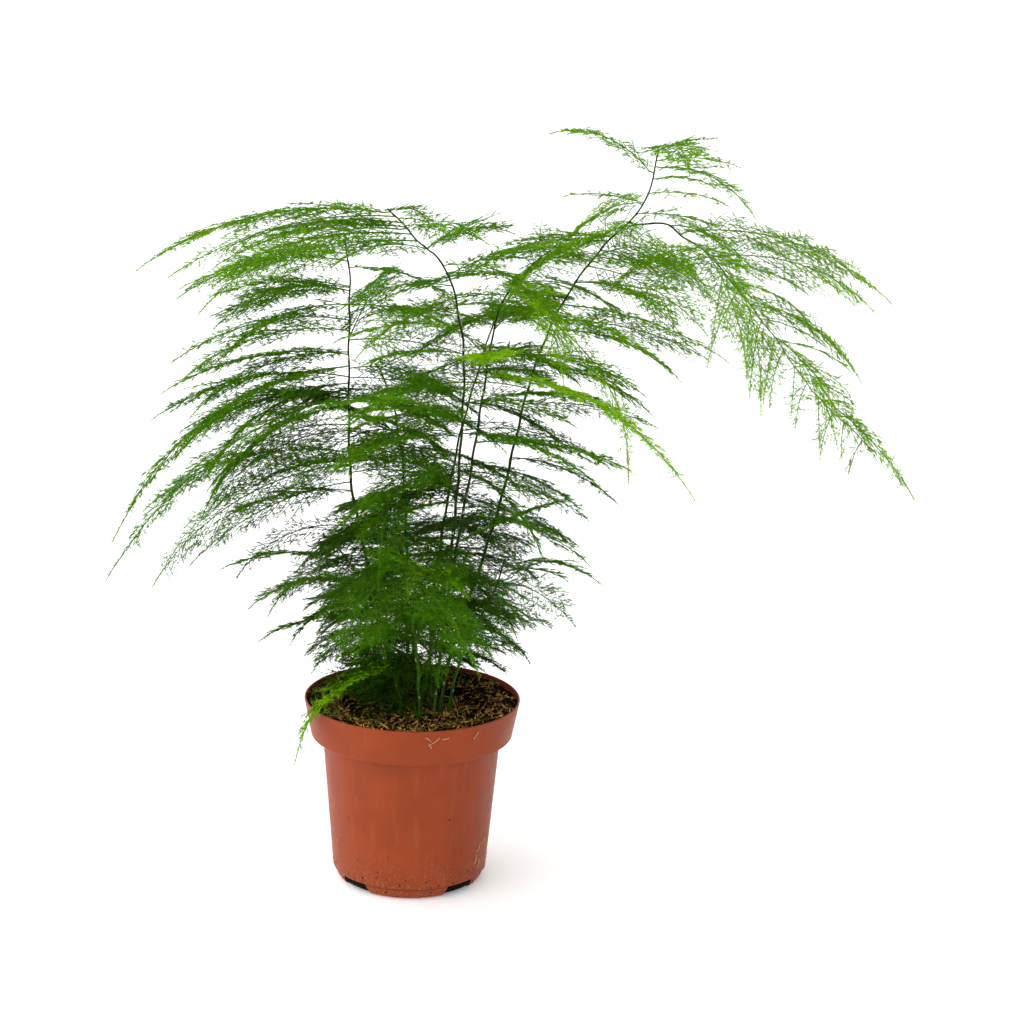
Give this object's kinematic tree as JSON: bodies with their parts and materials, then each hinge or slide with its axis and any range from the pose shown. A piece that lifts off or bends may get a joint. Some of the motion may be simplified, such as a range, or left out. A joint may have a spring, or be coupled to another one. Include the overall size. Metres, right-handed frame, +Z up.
{
  "type": "potted asparagus fern",
  "caption": "Feathery asparagus fern with arching stems and flat sprays of needles, growing in soil in a round terracotta-coloured plastic pot.",
  "frame": {"origin": "at ground level under the middle of the whole plant's box; the pot's axis is 59 mm to the left of it and 16 mm towards the viewer", "axes": "+Z up, +X to the viewer's right, +Y away from the viewer"},
  "size_m": [0.4308, 0.292, 0.4213],
  "materials": {
    "terracotta_plastic": "satin moulded plastic",
    "potting_soil": "rough damp peat with coir fibre",
    "green_stem": "smooth, slightly waxy",
    "fern_foliage": "soft matt needles"
  },
  "bodies": {
    "root": {"frond_arched_1": "fern_foliage", "frond_arched_2": "fern_foliage", "frond_arched_3": "fern_foliage", "frond_arched_4": "fern_foliage", "frond_arched_5": "fern_foliage", "frond_arched_6": "fern_foliage", "frond_arched_7": "fern_foliage", "frond_arched_8": "fern_foliage", "frond_back_1": "fern_foliage", "frond_bright_1": "fern_foliage", "frond_bright_2": "fern_foliage", "frond_bright_3": "fern_foliage", "frond_bright_4": "fern_foliage", "frond_bright_5": "fern_foliage", "frond_bright_6": "fern_foliage", "frond_inner_1": "fern_foliage", "frond_inner_2": "fern_foliage", "frond_limb_1": "fern_foliage", "frond_limb_2": "fern_foliage", "frond_limb_3": "fern_foliage", "frond_limb_4": "fern_foliage", "frond_limb_5": "fern_foliage", "frond_limb_6": "fern_foliage", "frond_limb_7": "fern_foliage", "frond_low_back_1": "fern_foliage", "frond_low_back_2": "fern_foliage", "frond_low_front_1": "fern_foliage", "frond_low_front_2": "fern_foliage", "frond_low_left_1": "fern_foliage", "frond_low_left_2": "fern_foliage", "frond_low_left_3": "fern_foliage", "frond_low_left_4": "fern_foliage", "frond_low_right_1": "fern_foliage", "frond_low_right_2": "fern_foliage", "frond_tall_1": "fern_foliage", "frond_tall_2": "fern_foliage", "frond_tall_3": "fern_foliage", "frond_tall_4": "fern_foliage", "frond_tall_5": "fern_foliage", "frond_tall_6": "fern_foliage", "frond_tall_7": "fern_foliage", "frond_upright_1": "fern_foliage", "frond_upright_2": "fern_foliage", "frond_upright_3": "fern_foliage", "frond_upright_4": "fern_foliage", "frond_upright_5": "fern_foliage", "frond_upright_6": "fern_foliage", "pot": "terracotta_plastic", "potting_soil": "potting_soil", "stem_arched": "green_stem", "stem_back": "green_stem", "stem_bright": "green_stem", "stem_inner": "green_stem", "stem_limb": "green_stem", "stem_low_back": "green_stem", "stem_low_front": "green_stem", "stem_low_left": "green_stem", "stem_low_right": "green_stem", "stem_tall": "green_stem", "stem_upright": "green_stem"}
  },
  "joints": []
}
